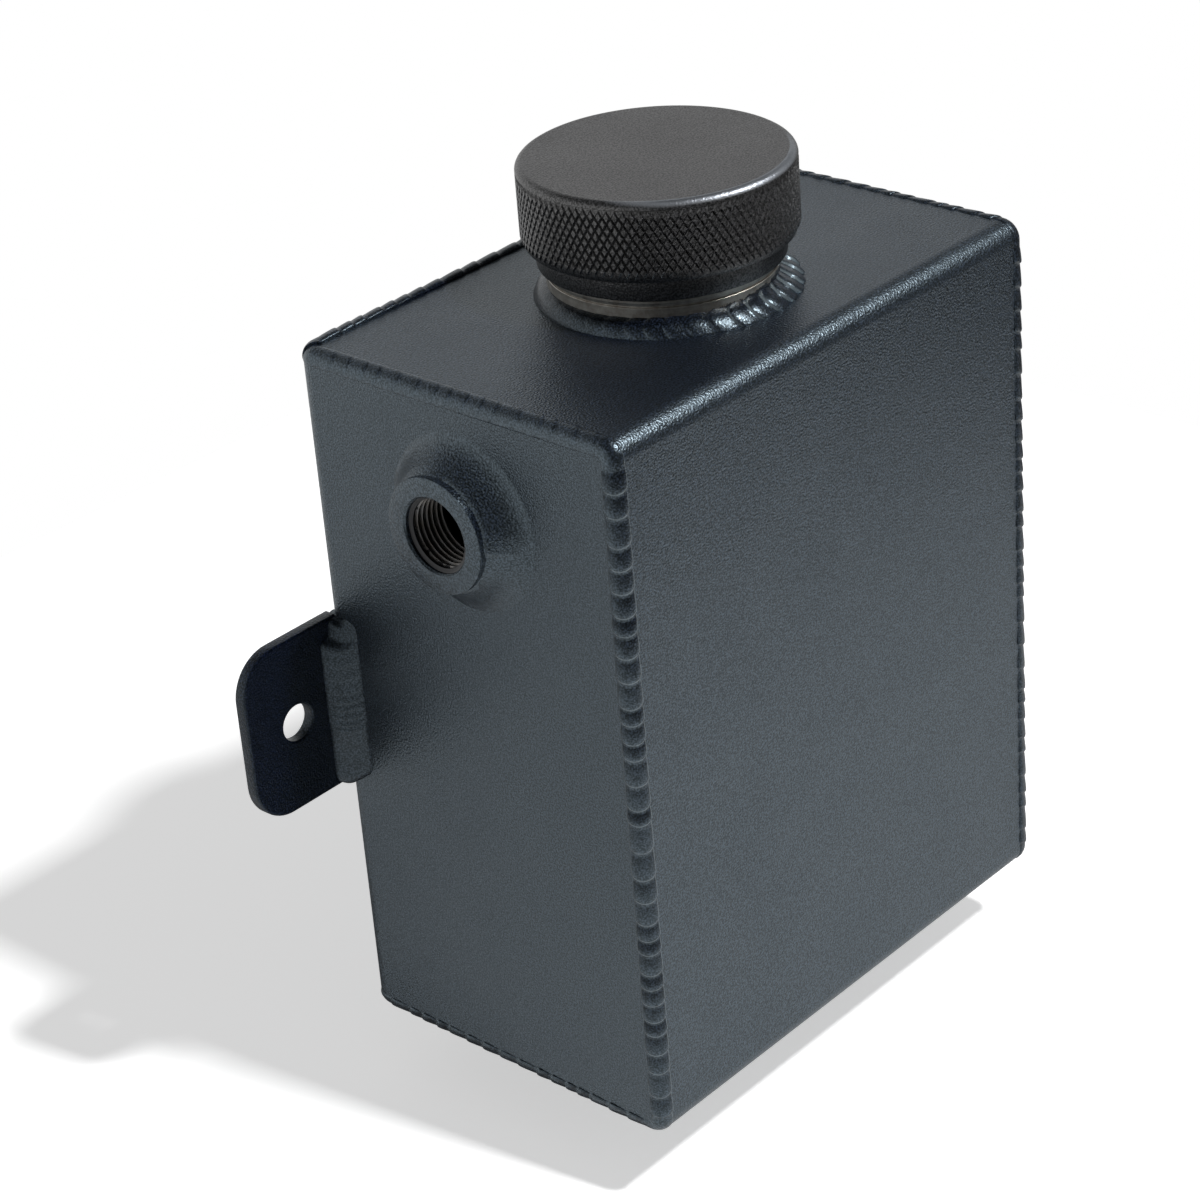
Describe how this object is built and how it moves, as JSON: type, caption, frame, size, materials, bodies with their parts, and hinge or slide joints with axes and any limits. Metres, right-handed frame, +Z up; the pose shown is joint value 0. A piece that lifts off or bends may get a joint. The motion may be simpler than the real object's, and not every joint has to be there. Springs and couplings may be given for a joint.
{
  "type": "coolant expansion tank",
  "caption": "Welded sheet aluminium coolant expansion tank with a knurled screw cap, a side inlet, a bottom outlet and two bolt-on tabs.",
  "frame": {"origin": "centre of the outlet port's mouth, on the surface that the tank stands on", "axes": "+X to the right side, +Y to the back (the side with the tabs), +Z up along the outlet and the filler neck"},
  "size_m": [0.193, 0.0888, 0.2139],
  "materials": {
    "coated_sheet": "satin black powder coating with a fine grain",
    "coated_weld": "satin black coating over rippled weld beads",
    "coated_cap": "fine bead-blasted black anodised coating, knurled rim",
    "bare_aluminium": "turned, bare",
    "seal_rubber": "matt black"
  },
  "bodies": {
    "tank": {"front_shell": "coated_sheet", "rear_shell": "coated_sheet", "filler_neck": "bare_aluminium", "inlet_bung": "coated_sheet", "outlet_bung": "coated_sheet", "left_bracket": "coated_sheet", "right_bracket": "coated_sheet", "left_top_seam": "coated_weld", "left_front_seam": "coated_weld", "left_bottom_seam": "coated_weld", "right_top_seam": "coated_weld", "right_front_seam": "coated_weld", "right_bottom_seam": "coated_weld", "rear_top_seam": "coated_weld", "rear_bottom_seam": "coated_weld", "neck_weld": "coated_weld", "inlet_weld": "coated_weld", "outlet_weld": "coated_weld", "left_bracket_front_weld": "coated_weld", "right_bracket_front_weld": "coated_weld", "left_bracket_rear_weld": "coated_weld", "right_bracket_rear_weld": "coated_weld"},
    "seal": {"cap_seal": "seal_rubber"},
    "cap": {"filler_cap": "coated_cap"}
  },
  "joints": [
    {"name": "cap_lift", "type": "slide", "parent": "tank", "child": "seal", "axis": [0, 0, 1], "range_m": [0, 0.009]},
    {"name": "cap_turn", "type": "hinge", "parent": "seal", "child": "cap", "pos_m": [-0.002, -0.001, 0.204], "axis": [0, 0, 1], "range_deg": [0, 1080]}
  ],
  "couplings": [
    {"joint": "cap_lift", "follows": "cap_turn", "m_per_rad": 0.00047746}
  ]
}
